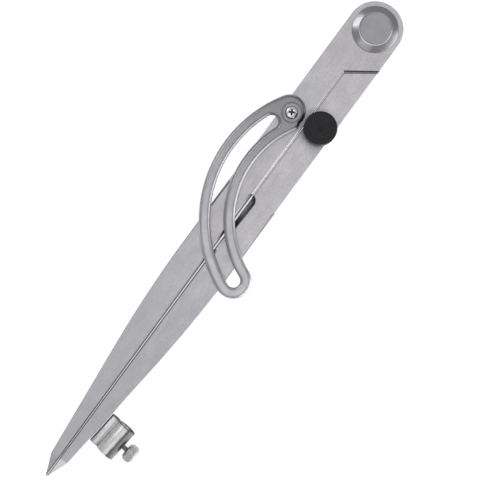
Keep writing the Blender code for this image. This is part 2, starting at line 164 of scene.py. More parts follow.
# ---------------------------------------------------------------- shapes

def arc(centre, radius, start, end, steps):
    points = []
    for i in range(steps + 1):
        angle = start + (end - start) * i / steps
        points.append((centre[0] + radius * math.cos(angle), centre[1] + radius * math.sin(angle)))
    return points


def hole_circle(centre, radius, steps):
    """A round hole's outline, which runs clockwise."""
    return arc(centre, radius, 0.0, -2 * math.pi, steps)[:-1]


def shade(mesh, angle=32):
    mesh.shade_smooth()
    mesh.set_sharp_from_angle(angle=math.radians(angle))


def add_piece(name, mesh, material, body, slot, *nodes):
    """Shows a finished mesh in place of the CAD nodes, riding on their body."""
    mesh.name = name
    mesh.materials.clear()
    mesh.materials.append(material)
    piece = bpy.data.objects.new(name, mesh)
    bpy.context.scene.collection.objects.link(piece)
    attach(piece, body)
    if nodes:
        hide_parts(*nodes)
    return piece


def plate(outlines, low, high, rounding, rings):
    """A flat plate with rounded edges; the first outline is the outside, the others are holes."""
    curve = bpy.data.curves.new("plate_outline", "CURVE")
    curve.dimensions = "2D"
    curve.fill_mode = "BOTH"
    curve.extrude = (high - low) / 2 - rounding
    curve.bevel_depth = rounding
    curve.bevel_resolution = rings
    curve.offset = -rounding
    for points in outlines:
        spline = curve.splines.new("POLY")
        spline.points.add(len(points) - 1)
        for point, (x, y) in zip(spline.points, points):
            point.co = (x, y, 0.0, 1.0)
        spline.use_cyclic_u = True
    guide = bpy.data.objects.new("plate_guide", curve)
    bpy.context.scene.collection.objects.link(guide)
    mesh = baked(guide)
    bpy.data.objects.remove(guide, do_unlink=True)
    shape = bmesh.new()
    shape.from_mesh(mesh)
    bmesh.ops.remove_doubles(shape, verts=shape.verts, dist=1e-6)
    bmesh.ops.translate(shape, verts=shape.verts, vec=(0.0, 0.0, (low + high) / 2))
    bmesh.ops.recalc_face_normals(shape, faces=shape.faces)
    shape.to_mesh(mesh)
    shape.free()
    shade(mesh)
    return mesh


def lathe(profile, place, steps=96, relief=None, closed=False, angle=32):
    """Turns (radius, height) points about place's Z axis.

    relief(turn, radius, height) is added to a radius; closed joins the last point to the first.
    """
    mesh = bpy.data.meshes.new("turned")
    shape = bmesh.new()
    rings = []
    for radius, height in profile:
        if radius < 1e-7:
            rings.append([shape.verts.new(place @ Vector((0.0, 0.0, height)))])
            continue
        ring = []
        for i in range(steps):
            turn = 2 * math.pi * i / steps
            r = radius + (relief(turn, radius, height) if relief else 0.0)
            point = Vector((r * math.cos(turn), r * math.sin(turn), height))
            ring.append(shape.verts.new(place @ point))
        rings.append(ring)
    pairs = list(zip(rings, rings[1:]))
    if closed:
        pairs.append((rings[-1], rings[0]))
    for upper, lower in pairs:
        for i in range(steps):
            j = (i + 1) % steps
            if len(upper) == 1 and len(lower) == 1:
                break
            if len(upper) == 1:
                shape.faces.new((upper[0], lower[i], lower[j]))
            elif len(lower) == 1:
                shape.faces.new((upper[j], upper[i], lower[0]))
            else:
                shape.faces.new((upper[j], upper[i], lower[i], lower[j]))
    bmesh.ops.recalc_face_normals(shape, faces=shape.faces)
    shape.to_mesh(mesh)
    shape.free()
    shade(mesh, angle)
    return mesh


def upright(centre):
    return Matrix.Translation((centre.x, centre.y, 0.0))


def baked(obj):
    """A new mesh with the object's modifiers or curve settings applied."""
    bpy.context.view_layer.update()
    return bpy.data.meshes.new_from_object(obj.evaluated_get(bpy.context.evaluated_depsgraph_get()))


def fillet(corner, radius, before, after, steps=4):
    """Points that round a profile's corner, between the directions to its two neighbours."""
    c, a, b = Vector(corner), Vector(before), Vector(after)
    into, out = (a - c).normalized(), (b - c).normalized()
    half = into.angle(out) / 2
    reach = radius / math.tan(half)
    centre = c + (into + out).normalized() * (radius / math.sin(half))
    start, end = c + into * reach - centre, c + out * reach - centre
    sweep = start.angle_signed(end)
    points = []
    for i in range(steps + 1):
        turned_by = Matrix.Rotation(-sweep * i / steps, 2)
        p = centre + turned_by @ start
        points.append((p.x, p.y))
    return points


def rounded(profile, radii):
    """A profile with the listed corners rounded; radii is {index: radius}."""
    points = []
    for i, corner in enumerate(profile):
        if i in radii:
            before = profile[i - 1]
            after = profile[(i + 1) % len(profile)]
            points += fillet(corner, radii[i], before, after)
        else:
            points.append(corner)
    return points


def washer(inner, outer, low, high, radii, place):
    """A flat ring; radii rounds its corners, counted from the upper inner one outwards."""
    outline = [(inner, high), (outer, high), (outer, low), (inner, low)]
    return lathe(rounded(outline, radii), place, 96, closed=True)


def threaded_rod(radius, low, high, top_chamfer, chamfer, pitch, depth, place, steps):
    """A screw's shank, threaded between its chamfers."""
    start, end = high - top_chamfer, low + chamfer
    levels = int((start - end) / (pitch / 6))
    outline = [(0.0, high)]
    if top_chamfer:
        outline.append((radius - top_chamfer, high))
    for i in range(levels + 1):
        outline.append((radius, start + (end - start) * i / levels))
    outline += [(radius - chamfer, low), (0.0, low)]

    def thread(turn, at_radius, height):
        if at_radius <= radius - 1e-6:
            return 0.0
        phase = (height / pitch - turn / (2 * math.pi)) % 1.0
        return -depth * abs(2 * phase - 1)

    return lathe(outline, place, steps, thread)


def difference(mesh, cutters):
    """The mesh with the cutters' meshes taken away."""
    body = bpy.data.objects.new("cut_body", mesh)
    bpy.context.scene.collection.objects.link(body)
    others = []
    for cutter in cutters:
        other = bpy.data.objects.new("cut_tool", cutter)
        bpy.context.scene.collection.objects.link(other)
        others.append(other)
        boolean = body.modifiers.new("Cut", "BOOLEAN")
        boolean.operation = "DIFFERENCE"
        boolean.solver = "EXACT"
        boolean.object = other
    result = baked(body)
    for obj in [body] + others:
        bpy.data.objects.remove(obj, do_unlink=True)
    shade(result)
    return result


def tapered_bar(size, narrow, place):
    """A bar, size long, wide and deep, that narrows towards its lower end."""
    mesh = bpy.data.meshes.new("bar")
    shape = bmesh.new()
    bmesh.ops.create_cube(shape, size=1.0)
    for vertex in shape.verts:
        x, y, z = vertex.co
        share = narrow if z < 0 else 1.0
        vertex.co = Vector((x * size[0] * share, y * size[1] * share, z * size[2]))
    shape.transform(place)
    shape.to_mesh(mesh)
    shape.free()
    return mesh


def joined_copy(node):
    """A CAD node's mesh with its facets joined, so that flat faces are flat and round ones smooth."""
    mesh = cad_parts[node].data.copy()
    shape = bmesh.new()
    shape.from_mesh(mesh)
    bmesh.ops.remove_doubles(shape, verts=shape.verts, dist=2e-7)
    bmesh.ops.dissolve_limit(
        shape, angle_limit=math.radians(0.2), verts=shape.verts, edges=shape.edges, delimit={"NORMAL"})
    shape.to_mesh(mesh)
    shape.free()
    plain = bpy.data.meshes.new(node + "_mesh")
    plain.from_pydata([v.co for v in mesh.vertices], [], [list(p.vertices) for p in mesh.polygons])
    shade(plain, 13)
    return plain


# ---------------------------------------------------------------- materials

class Shader:
    """A material's node tree, with short calls for the nodes that the finishes share."""

    def __init__(self, name):
        self.material = bpy.data.materials.new(name)
        self.material.use_nodes = True
        self.tree = self.material.node_tree
        self.surface = self.tree.nodes["Principled BSDF"]
        self.at = self.node("ShaderNodeTexCoord").outputs["Object"]

    def node(self, kind, **settings):
        made = self.tree.nodes.new(kind)
        for key, value in settings.items():
            setattr(made, key, value)
        return made

    def put(self, socket, value):
        if isinstance(value, bpy.types.NodeSocket):
            self.tree.links.new(value, socket)
        else:
            socket.default_value = value

    def maths(self, operation, a, b=0.0):
        made = self.node("ShaderNodeMath", operation=operation)
        self.put(made.inputs[0], a)
        self.put(made.inputs[1], b)
        return made.outputs[0]

    def product(self, first, *others):
        for value in others:
            first = self.maths("MULTIPLY", first, value)
        return first

    def vector(self, operation, a, b=(0.0, 0.0, 0.0)):
        made = self.node("ShaderNodeVectorMath", operation=operation)
        self.put(made.inputs[0], a)
        self.put(made.inputs[1], b)
        return made.outputs["Value" if operation in ("LENGTH", "DOT_PRODUCT") else "Vector"]

    def parts(self, vector):
        made = self.node("ShaderNodeSeparateXYZ")
        self.put(made.inputs[0], vector)
        return made.outputs

    def noise(self, vector, scale, detail=3.0, roughness=0.55):
        made = self.node("ShaderNodeTexNoise")
        self.put(made.inputs["Vector"], vector)
        made.inputs["Scale"].default_value = scale
        made.inputs["Detail"].default_value = detail
        made.inputs["Roughness"].default_value = roughness
        return made.outputs["Fac"]

    def stretched(self, scales, detail=3.0, roughness=0.55):
        """Noise with its own scale along each axis."""
        return self.noise(self.vector("MULTIPLY", self.at, scales), 1.0, detail, roughness)

    def rings(self, radius, frequency):
        """Uneven rings, with frequency to the metre."""
        made = self.node("ShaderNodeTexNoise", noise_dimensions="1D")
        self.put(made.inputs["W"], self.maths("MULTIPLY", radius, frequency))
        made.inputs["Scale"].default_value = 1.0
        made.inputs["Detail"].default_value = 2.0
        return made.outputs["Fac"]

    def from_axis(self, x, y):
        """The level vector from the upright axis through x and y."""
        offset = self.vector("SUBTRACT", self.at, (x, y, 0.0))
        return self.vector("MULTIPLY", offset, (1.0, 1.0, 0.0))

    def span(self, value, low, high, to_low=0.0, to_high=1.0, smooth=False):
        """The value, taken from low..high to to_low..to_high and held at the ends."""
        made = self.node("ShaderNodeMapRange", interpolation_type="SMOOTHSTEP" if smooth else "LINEAR")
        for socket, item in zip(made.inputs, (value, low, high, to_low, to_high)):
            self.put(socket, item)
        return made.outputs["Result"]

    def blend(self, share, a, b):
        """Colour a where the share is 0 and colour b where it is 1."""
        made = self.node("ShaderNodeMix", data_type="RGBA")
        self.put(made.inputs[0], share)
        self.put(made.inputs[6], (*a, 1.0) if isinstance(a, tuple) else a)
        self.put(made.inputs[7], (*b, 1.0) if isinstance(b, tuple) else b)
        return made.outputs[2]

    def bump(self, height, distance, strength=1.0, normal=None):
        made = self.node("ShaderNodeBump")
        made.inputs["Strength"].default_value = strength
        made.inputs["Distance"].default_value = distance
        self.put(made.inputs["Height"], height)
        if normal:
            self.put(made.inputs["Normal"], normal)
        return made.outputs["Normal"]

    def finish(self, color, roughness, normal, metallic=1.0, specular=0.5):
        self.put(self.surface.inputs["Base Color"], color)
        self.put(self.surface.inputs["Roughness"], roughness)
        self.put(self.surface.inputs["Normal"], normal)
        self.surface.inputs["Metallic"].default_value = metallic
        self.surface.inputs["Specular IOR Level"].default_value = specular
        return self.material


def soft_edges(s, radius):
    """The surface's normal, with its edges rounded off."""
    soft = s.node("ShaderNodeBevel", samples=6)
    soft.inputs["Radius"].default_value = radius
    return soft.outputs["Normal"]


def edge_wear(s, soft):
    """1 where the softened normal leaves the plain one, as it does on edges, and 0 on a flat face."""
    plain = s.node("ShaderNodeNewGeometry").outputs["Normal"]
    return s.span(s.vector("DOT_PRODUCT", soft, plain), 0.995, 0.90)


def leg_body(s, light, dark, streaks, clouds, pits):
    """The strip's mottled colour, which darkens towards the points."""
    y = s.parts(s.at)[1]
    tint = s.stretched((60.0, 40.0, 60.0), 2.0)
    mottle = s.stretched((1300.0, 900.0, 1300.0), 3.0, 0.65)
    warm = (light[0], light[1] * 0.965, light[2] * 0.975)
    darker = tuple(tone * 0.78 for tone in dark)
    body = s.blend(s.span(tint, 0.40, 0.62), light, warm)
    body = s.blend(s.span(clouds, 0.30, 0.75, 0.0, 0.45), body, dark)
    body = s.blend(s.span(streaks, 0.40, 0.80, 0.0, 0.28), body, dark)
    body = s.blend(s.span(pits, 0.58, 0.80, 0.0, 0.25), body, dark)
    body = s.blend(s.span(y, -0.085, -0.200, 0.0, 0.75, smooth=True), body, dark)
    return s.blend(s.span(mottle, 0.42, 0.66, 0.0, 0.30), body, darker)


def lap_shade(s, x, y, z, on_wing_leg):
    """1 along the lap's slanted edge, on the upper half of the leg, where shade is painted beside the gap at
    the lap.
    """
    slope = s.maths("SUBTRACT", y, s.maths("MULTIPLY", x, LAP_SLOPE))
    if on_wing_leg:
        edge = s.span(slope, LAP_EDGE + 0.00038, LAP_EDGE + 0.00026)
    else:
        edge = s.span(slope, SHOULDER - 0.00040, SHOULDER - 0.00028)
    right = s.span(x, -0.0003, 0.0)
    above = s.span(y, -0.0240, -0.0234)
    upper = s.span(z, LEG_TOP - 0.0022, LEG_TOP - 0.0017)
    return s.product(edge, right, above, upper)


def milled_edge_shade(s, x, y, z):
    """How much shade is painted on the edges where they were milled back, between the front and back faces.
    """
    across = s.maths("ABSOLUTE", x)
    depth = s.maths("MINIMUM", z, s.maths("SUBTRACT", LEG_TOP, z))
    relieved = s.product(s.span(y, RELIEF_START + 0.0013, RELIEF_START - 0.0004), s.span(y, -0.150, -0.130))
    inner = s.product(s.span(across, 0.0044, 0.0038), 0.92, s.span(depth, 0.00032, 0.0009, smooth=True))
    outer = s.product(s.span(across, 0.0102, 0.0106), 0.85, s.span(depth, 0.00002, 0.00010))
    outer = s.product(outer, s.span(y, RELIEF_START - 0.0004, RELIEF_START - 0.0012))
    return s.product(relieved, s.maths("MAXIMUM", inner, outer))


def gap_edge_shade(s, x, y):
    """1 beside the gap that the milling left, which narrows towards the points: shade is painted on the edges
    there.
    """
    half_gap = s.span(y, TAPER_START, POINT_START, 0.00078, 0.00052)
    beside = s.span(s.maths("SUBTRACT", s.maths("ABSOLUTE", x), half_gap), 0.00022, -0.00002)
    return s.product(beside, s.span(y, RELIEF_START - 0.0002, RELIEF_START - 0.0012))


def seam_highlight_and_shade(s, body, x, y, on_wing_leg):
    """Beside the closed seam, a highlight is painted on the wing leg's chamfer and shade on the pencil leg's.
    """
    below_lap = s.span(y, -0.0228, -0.0236)
    if on_wing_leg:
        beside = s.product(s.span(x, -0.00095, -0.00070), s.span(x, 0.0001, 0.0))
        above_gap = s.span(y, RELIEF_START - 0.0004, RELIEF_START + 0.0003)
        fading = s.span(y, -0.034, -0.052, 0.18, 0.85)
        # Painted highlight on the wing leg's chamfer.
        return s.blend(s.product(beside, above_gap, below_lap, fading), body, (0.90, 0.90, 0.91))
    # Painted shade on the pencil leg's chamfer.
    above_gap = s.span(y, RELIEF_START - 0.0004, RELIEF_START + 0.0003, 0.0, 0.5)
    return s.blend(s.product(s.span(x, 0.00085, 0.00060), below_lap, above_gap), body, (0.26, 0.26, 0.27))


def knob_shade(s, z):
    """The knob's soft shade on the front face."""
    distance = s.vector("LENGTH", s.from_axis(STUD.x - 0.0019, STUD.y + 0.0003))
    return s.product(s.span(distance, 0.0092, 0.0064, 0.0, 0.40, smooth=True), s.span(z, 0.002, 0.004))


def leg_steel(name, light, dark, point_tone_as_lit, on_wing_leg):
    """Stainless strip, brushed along the leg, with shade painted where its edges were milled back."""
    s = Shader(name)
    x, y, z = s.parts(s.at)
    grain = s.stretched((9000.0, 200.0, 9000.0), 2.0)
    streaks = s.stretched((1900.0, 60.0, 1900.0), 3.0, 0.6)
    clouds = s.stretched((210.0, 120.0, 210.0), 4.0, 0.6)
    pits = s.noise(s.at, 1500.0, 4.0, 0.7)
    body = leg_body(s, light, dark, streaks, clouds, pits)
    # Tone painted on the ground point as it is lit: painted shade on the wing leg's, painted light on the
    # pencil leg's.
    body = s.blend(s.span(y, POINT_START + 0.0005, POINT_START - 0.0004), body, point_tone_as_lit)
    # Painted shade along the lap's edge.
    body = s.blend(s.product(lap_shade(s, x, y, z, on_wing_leg), 0.85), body, (0.07, 0.07, 0.075))
    # Painted shade on the milled-back edges.
    body = s.blend(milled_edge_shade(s, x, y, z), body, (0.15, 0.15, 0.16))
    # Painted shade on the edges beside the gap.
    body = s.blend(s.product(gap_edge_shade(s, x, y), 0.80), body, (0.13, 0.13, 0.14))
    # Painted highlight and shade beside the closed seam.
    body = seam_highlight_and_shade(s, body, x, y, on_wing_leg)
    body = s.blend(knob_shade(s, z), body, (0.10, 0.10, 0.105))
    rough = s.span(streaks, 0.3, 0.7, 0.33, 0.41)
    rough = s.maths("ADD", rough, s.span(clouds, 0.3, 0.7, -0.03, 0.05))
    normal = s.bump(streaks, 0.000003, 0.35, soft_edges(s, 0.00012))
    normal = s.bump(grain, 0.0000035, 0.45, normal)
    normal = s.bump(pits, 0.000004, 0.3, normal)
    return s.finish(body, rough, normal)


def turned_steel(name, color, shadow, roughness, centre, ring_pitch=0.00011, rim=None):
    """Faced in a lathe: fine rings round the centre, and cloudy handling marks.

    rim is the radius of the flat face, where it has one: shade is painted outside it, and a highlight along
    one side of its edge.
    """
    s = Shader(name)
    flat = s.from_axis(centre[0], centre[1])
    radius = s.vector("LENGTH", flat)
    lines = s.rings(radius, 1.0 / ring_pitch)
    wobble = s.noise(s.at, 420.0, 3.0)
    clouds = s.noise(s.at, 160.0, 4.0)
    marks = s.stretched((900.0, 300.0, 900.0), 4.0, 0.7)
    soft = soft_edges(s, 0.00010)
    base = s.blend(s.span(clouds, 0.32, 0.72, 0.0, 0.8), color, shadow)
    base = s.blend(s.span(lines, 0.35, 0.75, 0.0, 0.30), base, shadow)
    base = s.blend(s.span(marks, 0.58, 0.78, 0.0, 0.35), base, shadow)
    base = s.blend(s.product(edge_wear(s, soft), 0.4), base, (0.78, 0.78, 0.80))
    if rim:
        # Painted shade on the cone outside the flat face.
        cone_shade = s.span(radius, rim + 0.00008, rim - 0.00008, 0.0, 0.45)
        base = s.blend(cone_shade, base, (0.20, 0.20, 0.21))
        # A painted highlight along one side of the face's edge.
        side = s.maths("DIVIDE", s.vector("DOT_PRODUCT", flat, (0.596, -0.803, 0.0)), rim)
        from_rim = s.maths("ABSOLUTE", s.maths("SUBTRACT", radius, rim - 0.00012))
        ring = s.product(s.span(from_rim, 0.00034, 0.00016), s.span(side, -0.15, 0.45, 0.0, 0.60))
        base = s.blend(ring, base, (0.86, 0.86, 0.87))
    rough = s.span(wobble, 0.3, 0.7, roughness - 0.05, roughness + 0.05)
    normal = s.bump(lines, 0.000004, 0.35, s.bump(marks, 0.000004, 0.3, soft))
    return s.finish(base, rough, normal)


def tumbled_steel(name, dark, light):
    """The wing: pressed from sheet, tumbled until its edges are round, then half polished."""
    s = Shader(name)
    y = s.parts(s.at)[1]
    clouds = s.noise(s.at, 190.0, 4.0, 0.6)
    patches = s.noise(s.at, 55.0, 2.0)
    speckle = s.noise(s.at, 2600.0, 3.0, 0.65)
    scratches = s.stretched((2600.0, 260.0, 900.0), 4.0, 0.7)
    darker = tuple(tone * 0.8 for tone in dark)
    # Painted shade at the hinge end, turning to painted light towards the far end.
    base = s.blend(s.span(y, -0.050, -0.122), dark, light)
    base = s.blend(s.span(clouds, 0.3, 0.75, 0.0, 0.35), base, darker)
    base = s.blend(s.span(scratches, 0.58, 0.80, 0.0, 0.30), base, (0.62, 0.62, 0.64))
    rough = s.maths("ADD", s.span(patches, 0.35, 0.65, 0.31, 0.37), s.span(speckle, 0.3, 0.7, -0.02, 0.04))
    normal = s.bump(speckle, 0.000003, 0.35, s.bump(clouds, 0.00003, 0.25))
    return s.finish(base, rough, normal)


def polished_nickel(name, color, shadow, out, start, along, top):
    """Plated and buffed, with fine hairlines and haze.

    Shade is painted on the far side and on the top rim.
    The far side and the top rim are dark.
    """
    s = Shader(name)
    hairlines = s.stretched((7000.0, 500.0, 7000.0), 3.0, 0.7)
    haze = s.noise(s.at, 330.0, 4.0, 0.6)
    base = s.blend(s.span(haze, 0.38, 0.75, 0.0, 0.5), color, shadow)
    base = s.blend(s.span(hairlines, 0.60, 0.85, 0.0, 0.06), base, shadow)
    reach = s.maths("SUBTRACT", s.vector("DOT_PRODUCT", s.at, out), start)
    ragged = s.maths("ADD", reach, s.span(haze, 0.3, 0.7, -0.0002, 0.0002))
    # Painted shade on the tube's far side.
    far_side_shade = s.span(ragged, 0.0093, 0.0103, smooth=True)
    fading = s.span(reach, 0.0117, 0.0124, 0.88, 0.70, smooth=True)
    base = s.blend(s.product(far_side_shade, fading), base, (0.085, 0.083, 0.08))
    # Painted shade on the top rim.
    rim = s.span(s.vector("DOT_PRODUCT", s.at, along), top + 0.00062, top + 0.00042, 0.0, 0.85)
    base = s.blend(rim, base, (0.10, 0.098, 0.095))
    rough = s.span(haze, 0.3, 0.7, 0.35, 0.42)
    normal = s.bump(haze, 0.000003, 0.1, soft_edges(s, 0.00006))
    normal = s.bump(hairlines, 0.0000004, 0.05, normal)
    return s.finish(base, rough, normal)


def plain_hardware(name, color, shadow, roughness, shaded_below=None):
    """Plated small parts, with grime in their finish; where a recess height is given, shade is painted below
    it.
    """
    s = Shader(name)
    grime = s.noise(s.at, 900.0, 4.0, 0.65)
    clouds = s.noise(s.at, 240.0, 3.0)
    soft = soft_edges(s, 0.00007)
    base = s.blend(s.span(grime, 0.42, 0.72, 0.0, 0.65), color, shadow)
    base = s.blend(s.span(clouds, 0.35, 0.7, 0.0, 0.35), base, shadow)
    base = s.blend(s.product(edge_wear(s, soft), 0.4), base, (0.82, 0.82, 0.82))
    # Painted shade in the recess.
    if shaded_below:
        base = s.blend(s.span(s.parts(s.at)[2], shaded_below, shaded_below - 0.00012), base, (0.05, 0.05, 0.055))
    rough = s.span(clouds, 0.3, 0.7, roughness - 0.05, roughness + 0.06)
    normal = s.bump(grime, 0.000006, 0.35, soft)
    return s.finish(base, rough, normal)


def black_plastic(name, centre):
    """Moulded phenolic knob: faint turned rings on its top, a satin skin and a little dust."""
    s = Shader(name)
    lines = s.rings(s.vector("LENGTH", s.from_axis(centre.x, centre.y)), 3600.0)
    skin = s.noise(s.at, 5200.0, 3.0, 0.6)
    clouds = s.noise(s.at, 380.0, 4.0)
    dust = s.noise(s.at, 1700.0, 5.0, 0.75)
    base = s.blend(s.span(clouds, 0.3, 0.7), (0.008, 0.008, 0.010), (0.016, 0.016, 0.018))
    base = s.blend(s.span(lines, 0.45, 0.75, 0.0, 0.55), base, (0.022, 0.022, 0.025))
    base = s.blend(s.span(dust, 0.62, 0.82, 0.0, 0.35), base, (0.11, 0.11, 0.11))
    rough = s.maths("ADD", s.span(clouds, 0.3, 0.7, 0.36, 0.50), s.span(skin, 0.3, 0.7, -0.03, 0.05))
    normal = s.bump(lines, 0.00001, 0.25, s.bump(skin, 0.000008, 0.5))
    return s.finish(base, rough, normal, metallic=0.0, specular=0.3)


def floor_white():
    """A plain pale sweep that glows a little, as a light table does."""
    s = Shader("floor_white")
    paper = s.noise(s.at, 60.0, 2.0)
    tone = s.blend(s.span(paper, 0.3, 0.7), (0.90, 0.90, 0.90), (0.92, 0.92, 0.92))
    s.put(s.surface.inputs["Base Color"], tone)
    s.surface.inputs["Roughness"].default_value = 0.9
    s.surface.inputs["Specular IOR Level"].default_value = 0.0
    s.surface.inputs["Emission Color"].default_value = (1.0, 1.0, 1.0, 1.0)
    s.surface.inputs["Emission Strength"].default_value = FLOOR_GLOW
    return s.material


# ---------------------------------------------------------------- legs and pivot

def make_legs():
    # The points' tones are painted light and shade: dark on the wing leg, bright on the pencil leg.
    wing_side = leg_steel(
        "wing_leg_steel", (0.60, 0.577, 0.597), (0.45, 0.45, 0.465), (0.49, 0.49, 0.49), True)
    pencil_side = leg_steel(
        "pencil_leg_steel", (0.635, 0.62, 0.637), (0.44, 0.44, 0.455), (0.84, 0.84, 0.84), False)
    for leg, steel in (("wing_leg", wing_side), ("pencil_leg", pencil_side)):
        add_piece(leg + "_strip", joined_copy(leg), steel, leg, "leg_steel", leg)


def make_pivot():
    upright_axis = Matrix.Identity(4)
    top, low, head = PIVOT_HIGH.z, PIVOT_LOW.z, PIVOT_HIGH.x
    outline = [
        (0.0, top - 0.00012),
        (PIVOT_FACE - 0.00055, top - 0.00012),
        (PIVOT_FACE - 0.00030, top - 0.00001),
        (PIVOT_FACE, top),
        (head - 0.00005, PIVOT_UNDERSIDE + 0.00060),
        (head, PIVOT_UNDERSIDE + 0.00035),
        (head, PIVOT_UNDERSIDE),
        (PIVOT_SHANK, PIVOT_UNDERSIDE),
        (PIVOT_SHANK, PIVOT_SHOULDER),
        (PIVOT_THREAD, PIVOT_SHOULDER),
        (PIVOT_THREAD, low),
        (0.0, low),
    ]
    outline = rounded(outline, {1: 0.0002, 2: 0.0001, 3: 0.00022, 4: 0.0001, 6: 0.00012})
    steel = turned_steel(
        "pivot_turned_steel", (0.45, 0.44, 0.46), (0.36, 0.35, 0.375), 0.23, (0.0, 0.0), rim=PIVOT_FACE)
    mesh = lathe(outline, upright_axis, 160)
    add_piece("pivot_head", mesh, steel, "wing_leg", "pivot_steel", "pivot_bolt")

    hardware = plain_hardware("nut_plated_steel", (0.56, 0.56, 0.57), (0.34, 0.34, 0.35), 0.32)
    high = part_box("pivot_nut")[1]
    outline = [
        (NUT_BORE, high.z),
        (high.x, high.z),
        (high.x, 0.0),
        (0.0, 0.0),
        (0.0, NUT_WEB),
        (NUT_BORE, NUT_WEB),
    ]
    outline = rounded(outline, {1: 0.0001, 2: 0.0002})
    nut = lathe(outline, upright_axis, 96, closed=True)
    holes = []
    for side in (-1, 1):
        hole = [
            (0.0, SPANNER_HOLE_DEPTH),
            (SPANNER_HOLE, SPANNER_HOLE_DEPTH),
            (SPANNER_HOLE, -0.001),
            (0.0, -0.001),
        ]
        holes.append(lathe(hole, Matrix.Translation((side * SPANNER_HOLE_PLACE, 0.0, 0.0)), 32))
    add_piece("pivot_back_nut", difference(nut, holes), hardware, "wing_leg", "hardware_steel", "pivot_nut")

    low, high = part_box("pivot_friction_washer")
    mesh = washer(FRICTION_BORE, high.x, low.z, high.z, {1: 0.0001, 2: 0.0001}, upright_axis)
    add_piece("friction_washer", mesh, hardware, "wing_leg", "hardware_steel", "pivot_friction_washer")


# ---------------------------------------------------------------- wing

def wing_outline(inset):
    """Round eye at the hinge, curved band, round far end; inset moves it all inwards."""
    half = WING_HALF_WIDTH - inset
    far_angle = HINGE_ANGLE + SLOT_FROM_HINGE + SLOT_SPAN
    far_centre = arc(WING_CENTRE, WING_RADIUS, far_angle, far_angle, 1)[0]
    eye = HINGE.xy + EYE_OFFSET
    eye_angle = math.atan2(eye.y - WING_CENTRE.y, eye.x - WING_CENTRE.x)
    eye_radius = WING_RADIUS + half - (eye - WING_CENTRE).length
    inner_radius = WING_RADIUS - half
    outer = arc(WING_CENTRE, WING_RADIUS + half, eye_angle, far_angle, 90)
    end = arc(far_centre, half, far_angle, far_angle + math.pi, 40)
    inner = arc(WING_CENTRE, inner_radius, far_angle, HINGE_ANGLE + INNER_EDGE_END, 80)
    corner_from = Vector(inner[-1])
    corner_to = Vector(arc(eye, eye_radius, EYE_START, 0.0, 1)[0])
    corner_at = Vector(arc(WING_CENTRE, inner_radius, HINGE_ANGLE + CORNER_TIP, 0.0, 1)[0])
    corner = []
    for i in range(1, 8):
        t = i / 8
        p = corner_from * (1 - t) ** 2 + corner_at * 2 * t * (1 - t) + corner_to * t ** 2
        corner.append((p.x, p.y))
    cap = arc(eye, eye_radius, EYE_START, eye_angle, 48)
    return outer + end[1:] + inner[1:] + corner + cap[:-1]


def slot_outline(inset):
    """The curved slot; inset widens it."""
    near = HINGE_ANGLE + SLOT_FROM_HINGE
    far = near + SLOT_SPAN
    half = WING_SLOT / 2 + inset
    near_centre = arc(WING_CENTRE, WING_RADIUS, near, near, 1)[0]
    far_centre = arc(WING_CENTRE, WING_RADIUS, far, far, 1)[0]
    inner = arc(WING_CENTRE, WING_RADIUS - half, near, far, 76)
    far_end = arc(far_centre, half, far + math.pi, far, 24)
    outer = arc(WING_CENTRE, WING_RADIUS + half, far, near, 76)
    near_end = arc(near_centre, half, near, near - math.pi, 24)
    return inner + far_end[1:] + outer[1:] + near_end[1:-1]


def pillow_plate(outlines, profile):
    """A plate whose edges follow a profile of (inset, height), from the bottom face to the top one."""
    mesh = bpy.data.meshes.new("pillow")
    shape = bmesh.new()
    caps = ([], [])
    for outline in outlines:
        rings = []
        for inset, height in profile:
            rings.append([shape.verts.new((x, y, height)) for x, y in outline(inset)])
        count = len(rings[0])
        for lower, upper in zip(rings, rings[1:]):
            for i in range(count):
                j = (i + 1) % count
                shape.faces.new((lower[i], lower[j], upper[j], upper[i]))
        for cap, ring in zip(caps, (rings[0], rings[-1])):
            cap.extend(shape.edges.get((ring[i], ring[(i + 1) % count])) for i in range(count))
    for cap in caps:
        bmesh.ops.triangle_fill(shape, use_beauty=True, use_dissolve=False, edges=cap)
    bmesh.ops.recalc_face_normals(shape, faces=shape.faces)
    shape.to_mesh(mesh)
    shape.free()
    shade(mesh)
    return mesh


def wing_profile():
    """Section of the wing's edge: crowned above, rolled over below."""
    points = []
    for i in range(6):
        angle = math.radians(15 * i)
        inset = WING_UNDERCUT * (1 - math.sin(angle))
        points.append((inset, WING_LOW.z + WING_UNDERCUT * (1 - math.cos(angle))))
    height = WING_HIGH.z
    crown = [(WING_CROWN, height)]
    steps = 16
    for i in range(1, steps + 1):
        tilt = WING_EDGE_TILT * ((i - 0.5) / steps) ** 0.9
        height -= math.tan(tilt) * (WING_CROWN - WING_CORNER) / steps
        crown.append((WING_CROWN - (WING_CROWN - WING_CORNER) * i / steps, height))
    crown += [(WING_CORNER * 0.45, height - WING_CORNER * 0.8), (0.0, height - WING_CORNER * 2.0)]
    return points + crown[::-1]


